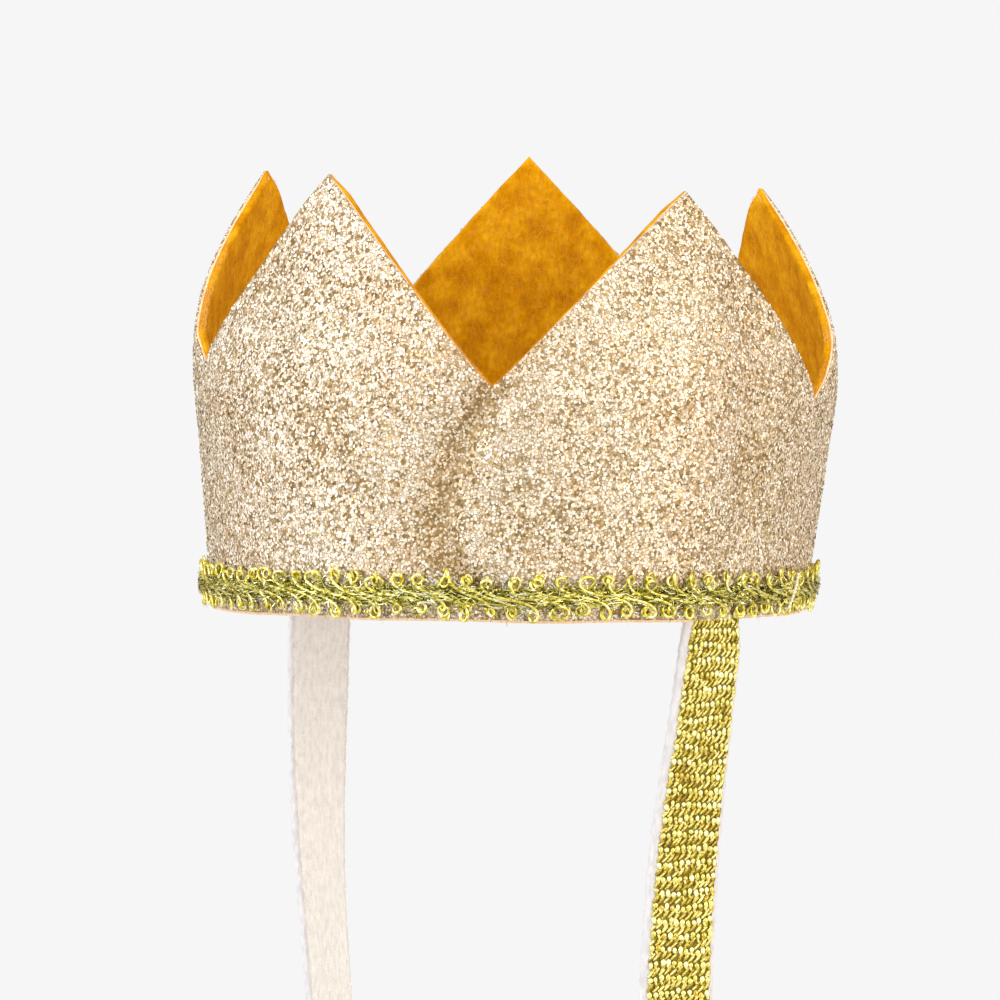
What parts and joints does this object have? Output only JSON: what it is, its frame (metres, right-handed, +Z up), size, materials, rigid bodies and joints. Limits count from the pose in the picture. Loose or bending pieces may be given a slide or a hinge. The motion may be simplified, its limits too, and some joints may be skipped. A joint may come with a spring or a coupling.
{
  "type": "party crown",
  "caption": "Small fabric party crown with pointed glitter wall, felt lining, scroll braid hem and an elastic chin strap loop.",
  "frame": {"origin": "centre of the head opening in the plane of the crown's lower hem", "axes": "+Z up through the crown, -Y the wearer's front, +X the wearer's left, through the sewn end of the strap"},
  "size_m": [0.118, 0.118, 0.233],
  "materials": {
    "glitter_cloth": "champagne gold glitter coat, fine flakes",
    "cloth_ground": "peach woven ground, matt",
    "felt": "mustard needle felt, fibrous",
    "sewing_thread": "spun sewing thread",
    "braid_core": "dark olive gold metallic plait",
    "braid_metallic": "yellow gold metallic gimp cord",
    "tack_thread": "pale stitching thread",
    "elastic_white": "white plush elastic back",
    "elastic_gold": "gold lurex knit over white elastic, white selvages"
  },
  "bodies": {
    "crown": {"glitter_face": "glitter_cloth", "fabric_ground": "cloth_ground", "felt_lining": "felt", "seam_stitches": "sewing_thread", "braid_upper_cord": "braid_core", "braid_centre_plait": "braid_core", "braid_lower_cord": "braid_core", "braid_upper_curls": "braid_metallic", "braid_lower_curls": "braid_metallic", "braid_lapped_end": "braid_metallic", "braid_end_tack": "tack_thread", "strap_tab_left": "elastic_white", "strap_tab_right": "elastic_white", "strap_stitches_left": "sewing_thread", "strap_stitches_right": "sewing_thread"},
    "strap": {"strap_strand_left": "elastic_gold", "strap_strand_right": "elastic_gold", "strap_stretch_left": "elastic_gold", "strap_stretch_right": "elastic_gold"},
    "loop": {"strap_loop": "elastic_gold"}
  },
  "joints": [
    {"name": "strap_swing", "type": "hinge", "parent": "crown", "child": "strap", "pos_m": [0, 0, -0.00905], "axis": [1, 0, 0], "range_deg": [-80, 80]},
    {"name": "strap_stretch", "type": "slide", "parent": "strap", "child": "loop", "axis": [0, 0, -1], "range_m": [0, 0.045], "stiffness_N_per_m": 30, "springref_m": -0.003, "deforming": ["strap_stretch_left", "strap_stretch_right"]}
  ]
}
